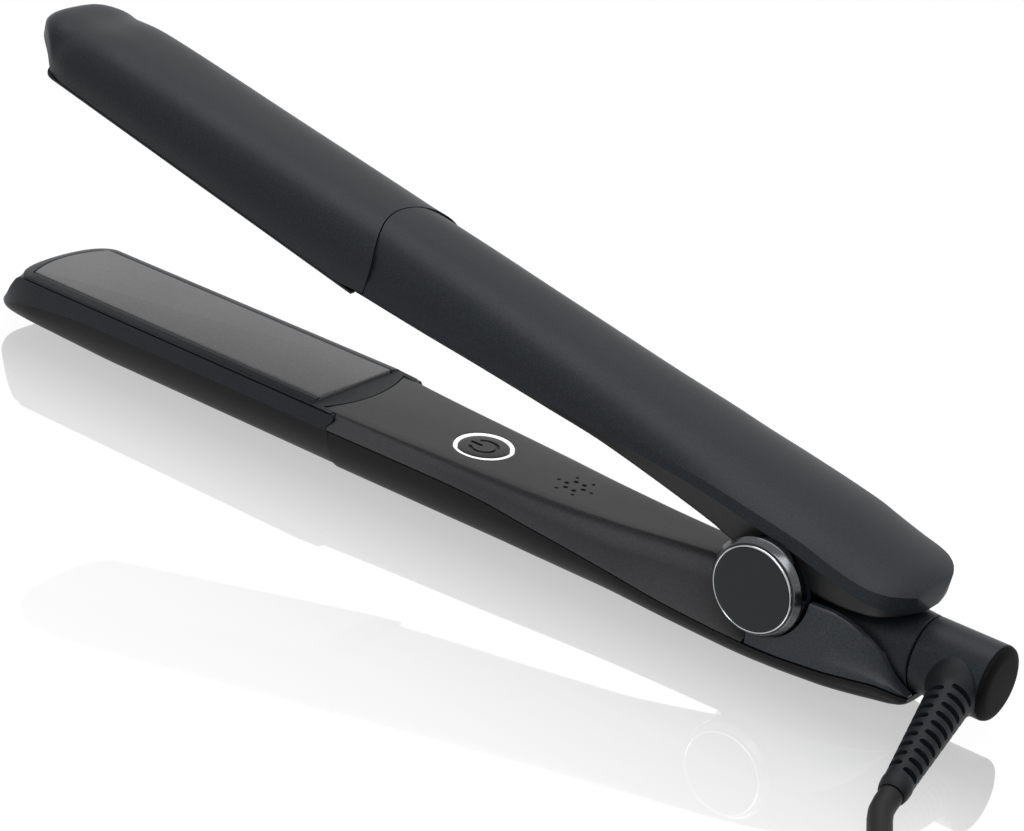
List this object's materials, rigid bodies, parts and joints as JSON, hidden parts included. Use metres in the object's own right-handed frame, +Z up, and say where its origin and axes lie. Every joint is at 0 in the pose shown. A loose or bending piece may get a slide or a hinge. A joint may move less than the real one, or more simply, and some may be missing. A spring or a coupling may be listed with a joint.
{
  "type": "hair straightener",
  "caption": "Slim hair straightener with two hinged arms, floating flat plates, a power button, a swivelling cord outlet, and its lead coiled beside it.",
  "frame": {"origin": "on the table, under the middle of the arms and cord outlet, without the lead", "axes": "+X runs along the lower arm from its tip to the cord outlet, +Y is across the arms towards the side away from the picture's viewer, +Z is up; the arms are open at rest"},
  "size_m": [0.4011, 0.0914, 0.0841],
  "materials": {
    "satin_charcoal": "satin, fine metallic sparkle",
    "cover_grey": "satin",
    "black_plastic": "satin",
    "plate_coating": "smooth satin coating",
    "gloss_cap": "high gloss",
    "bright_trim": "polished",
    "steel": "plain",
    "spring_steel": "plain",
    "heater_ceramic": "fired ceramic",
    "aluminium": "plain",
    "heatproof_plastic": "moulded",
    "board_green": "lacquered",
    "light_guide": "translucent",
    "brass": "plain",
    "acetal": "moulded",
    "cord_rubber": "fine matt",
    "nickel_pins": "nickel plated"
  },
  "bodies": {
    "lower_arm": {"lower_front_shell": "satin_charcoal", "lower_plate_frame": "satin_charcoal", "lower_heater_tray": "heatproof_plastic", "lower_float_spring_front": "spring_steel", "lower_float_spring_rear": "spring_steel", "lower_handle_shell": "black_plastic", "lower_inner_cover": "cover_grey", "hinge_housing": "satin_charcoal", "hinge_pin": "steel", "hinge_cap_near": "gloss_cap", "hinge_cap_far": "gloss_cap", "cap_ring_near": "bright_trim", "cap_ring_far": "bright_trim", "hinge_spring": "spring_steel", "button_light_ring": "light_guide", "circuit_board": "board_green", "tact_switch": "heatproof_plastic", "buzzer": "heatproof_plastic", "fixed_collar": "satin_charcoal", "brush_live": "brass", "brush_neutral": "brass", "cord": "cord_rubber", "cord_coil": "cord_rubber", "plug_body": "cord_rubber", "plug_pin_a": "nickel_pins", "plug_pin_b": "nickel_pins"},
    "upper_arm": {"upper_front_shell": "satin_charcoal", "upper_plate_frame": "satin_charcoal", "upper_heater_tray": "heatproof_plastic", "upper_float_spring_front": "spring_steel", "upper_float_spring_rear": "spring_steel", "upper_handle_shell": "satin_charcoal", "upper_inner_cover": "heatproof_plastic", "hinge_bush_near": "acetal", "hinge_bush_far": "acetal"},
    "lower_plate_pack": {"lower_plate": "plate_coating", "lower_heater": "heater_ceramic", "lower_heater_carrier": "aluminium"},
    "upper_plate_pack": {"upper_plate": "plate_coating", "upper_heater": "heater_ceramic", "upper_heater_carrier": "aluminium"},
    "button": {"power_button": "cover_grey"},
    "swivel": {"swivel_barrel": "satin_charcoal", "barrel_end_cap": "satin_charcoal", "slip_ring_live": "brass", "slip_ring_neutral": "brass", "strain_relief": "cord_rubber"}
  },
  "joints": [
    {"name": "arm_hinge", "type": "hinge", "parent": "lower_arm", "child": "upper_arm", "pos_m": [0.09375, 0, 0.0219], "axis": [0, -1, 0], "range_deg": [0, 13.2], "stiffness_Nm_per_rad": 1.5, "springref_deg": -28.65},
    {"name": "lower_plate_float", "type": "slide", "parent": "lower_arm", "child": "lower_plate_pack", "axis": [0, 0, -1], "range_m": [0, 0.0008], "stiffness_N_per_m": 3000, "springref_m": -0.0005, "deforming": ["lower_float_spring_front", "lower_float_spring_rear"]},
    {"name": "upper_plate_float", "type": "slide", "parent": "upper_arm", "child": "upper_plate_pack", "axis": [0.2284, 0, 0.9736], "range_m": [0, 0.0008], "stiffness_N_per_m": 3000, "springref_m": -0.0005, "deforming": ["upper_float_spring_front", "upper_float_spring_rear"]},
    {"name": "power_button", "type": "slide", "parent": "lower_arm", "child": "button", "axis": [0, 0, -1], "range_m": [0, 0.0005], "stiffness_N_per_m": 1500, "springref_m": -0.0005},
    {"name": "cord_swivel", "type": "hinge", "parent": "lower_arm", "child": "swivel", "pos_m": [0.1346, 0, 0.01325], "axis": [1, 0, 0], "continuous": true}
  ]
}
